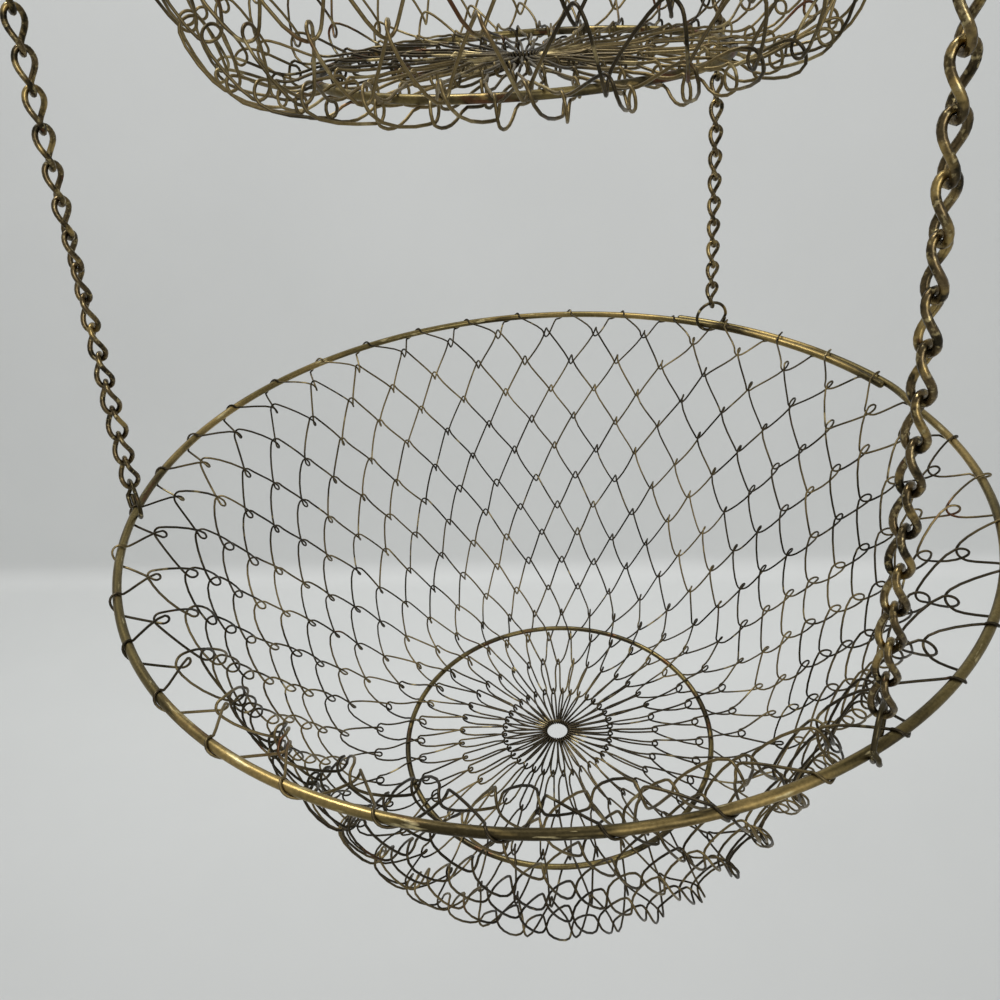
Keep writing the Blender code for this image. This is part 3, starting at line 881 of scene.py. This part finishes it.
def draw_backdrop(scene):
    """The floor and the wall behind, as one sheet with a round between them."""
    turns = np.linspace(0, math.pi / 2, 10)
    profile = [(FLOOR_END, FLOOR_Z)]
    profile += [(WALL_Y - FILLET + FILLET * math.sin(turn), FLOOR_Z + FILLET - FILLET * math.cos(turn))
                for turn in turns]
    profile.append((WALL_Y, WALL_TOP))
    askew = Matrix.Rotation(ASKEW, 3, "Z")
    points = [askew @ Vector((x, y, z)) for y, z in profile for x in (-HALF_WIDTH, HALF_WIDTH)]
    faces = [(2 * i, 2 * i + 1, 2 * i + 3, 2 * i + 2) for i in range(len(profile) - 1)]
    mesh = bpy.data.meshes.new("backdrop")
    mesh.from_pydata(points, [], faces)
    backdrop = bpy.data.objects.new("backdrop", mesh)
    scene.collection.objects.link(backdrop)
    pick(backdrop)
    bpy.ops.object.shade_smooth_by_angle(angle=math.radians(40))
    return backdrop


def backdrop_paint_with_shade(pale):
    """A matt pale paint with painted shade, darker on the near floor and on the wall, faintly uneven."""
    made = Nodes("backdrop_paint_with_shade")
    _, y, z = made.apart()
    # Painted shade: the near floor and the wall are darker than the far floor.
    floor_painted_shade = made.mix(made.span(y, *NEAR_SHADE_RAMP), pale * NEAR_PAINTED_SHADE, pale)
    tone = made.mix(made.span(z, *WALL_SHADE_RAMP), floor_painted_shade, pale * WALL_PAINTED_SHADE)
    tone = made.mix(1.0, tone, made.span(made.noise(2.5, 3), *PAINT_RAMP), "MULTIPLY")
    made.feed(made.shader.inputs["Base Color"], tone)
    made.shader.inputs["Roughness"].default_value = 0.6
    return made.material


def add_lamp(name, place, aim, size, power):
    deselect()
    bpy.ops.object.light_add(type="AREA", location=place)
    made = bpy.context.object
    made.name = name
    made.rotation_euler = (Vector(aim) - Vector(place)).to_track_quat("-Z", "Y").to_euler()
    made.data.shape = "DISK"
    made.data.size = size
    made.data.energy = power


def add_camera(scene):
    deselect()
    bpy.ops.object.camera_add(location=CAMERA_PLACE)
    camera = bpy.context.object
    camera.name = "photo_camera"
    camera.data.sensor_width = CAMERA_SENSOR
    camera.data.lens = CAMERA_LENS
    down = Vector((0, -math.sin(CAMERA_PITCH), -math.cos(CAMERA_PITCH)))
    ahead = Vector((0, math.cos(CAMERA_PITCH), -math.sin(CAMERA_PITCH)))
    across = math.cos(CAMERA_ROLL) * X_AXIS - math.sin(CAMERA_ROLL) * down
    under = math.sin(CAMERA_ROLL) * X_AXIS + math.cos(CAMERA_ROLL) * down
    camera.rotation_euler = Matrix((across, -under, -ahead)).transposed().to_euler()
    camera.data.clip_start = 0.01
    scene.camera = camera


class BASKET_OT_stage(bpy.types.Operator):
    """Makes the floor and the backdrop, the lamps and the camera"""

    bl_idname = "object.basket_stage"
    bl_label = "Stage"

    def execute(self, context):
        scene = context.scene
        backdrop = draw_backdrop(scene)
        backdrop.data.materials.append(backdrop_paint_with_shade(Vector(scene.basket_colours.floor)))
        world = bpy.data.worlds.new("studio")
        world.use_nodes = True
        background = world.node_tree.nodes["Background"]
        background.inputs["Color"].default_value = WORLD_COLOUR
        background.inputs["Strength"].default_value = WORLD_STRENGTH
        scene.world = world
        for lamp in LAMPS:
            add_lamp(*lamp)
        add_camera(scene)
        scene.view_settings.view_transform = "Standard"
        return {"FINISHED"}


class BASKET_PT_panel(bpy.types.Panel):
    """Lists the basket's pieces, sizes and colours"""

    bl_idname = "BASKET_PT_panel"
    bl_label = "Fruit Basket"
    bl_space_type = "VIEW_3D"
    bl_region_type = "UI"
    bl_category = "Basket"

    def draw(self, context):
        for name in OPERATORS:
            self.layout.operator(name)
        for group in (context.scene.basket_sizes, context.scene.basket_colours):
            for key in group.__annotations__:
                self.layout.prop(group, key)


OPERATORS = ("object.basket_nets", "object.basket_rings", "object.basket_hook", "object.basket_jump_rings",
             "object.basket_chains", "object.basket_stage")
CLASSES = (BasketSizes, BasketColours, BASKET_OT_hook, BASKET_OT_rings, BASKET_OT_jump_rings,
           BASKET_OT_chains, BASKET_OT_nets, BASKET_OT_stage, BASKET_PT_panel)


def register():
    for item in CLASSES:
        bpy.utils.register_class(item)
    bpy.types.Scene.basket_sizes = PointerProperty(type=BasketSizes)
    bpy.types.Scene.basket_colours = PointerProperty(type=BasketColours)


def unregister():
    del bpy.types.Scene.basket_colours
    del bpy.types.Scene.basket_sizes
    for item in reversed(CLASSES):
        bpy.utils.unregister_class(item)


def main():
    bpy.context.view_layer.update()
    register()
    bpy.ops.object.basket_nets()
    bpy.ops.object.basket_rings()
    bpy.ops.object.basket_hook()
    bpy.ops.object.basket_jump_rings()
    bpy.ops.object.basket_chains()
    bpy.ops.object.basket_stage()


if __name__ == "__main__":
    main()
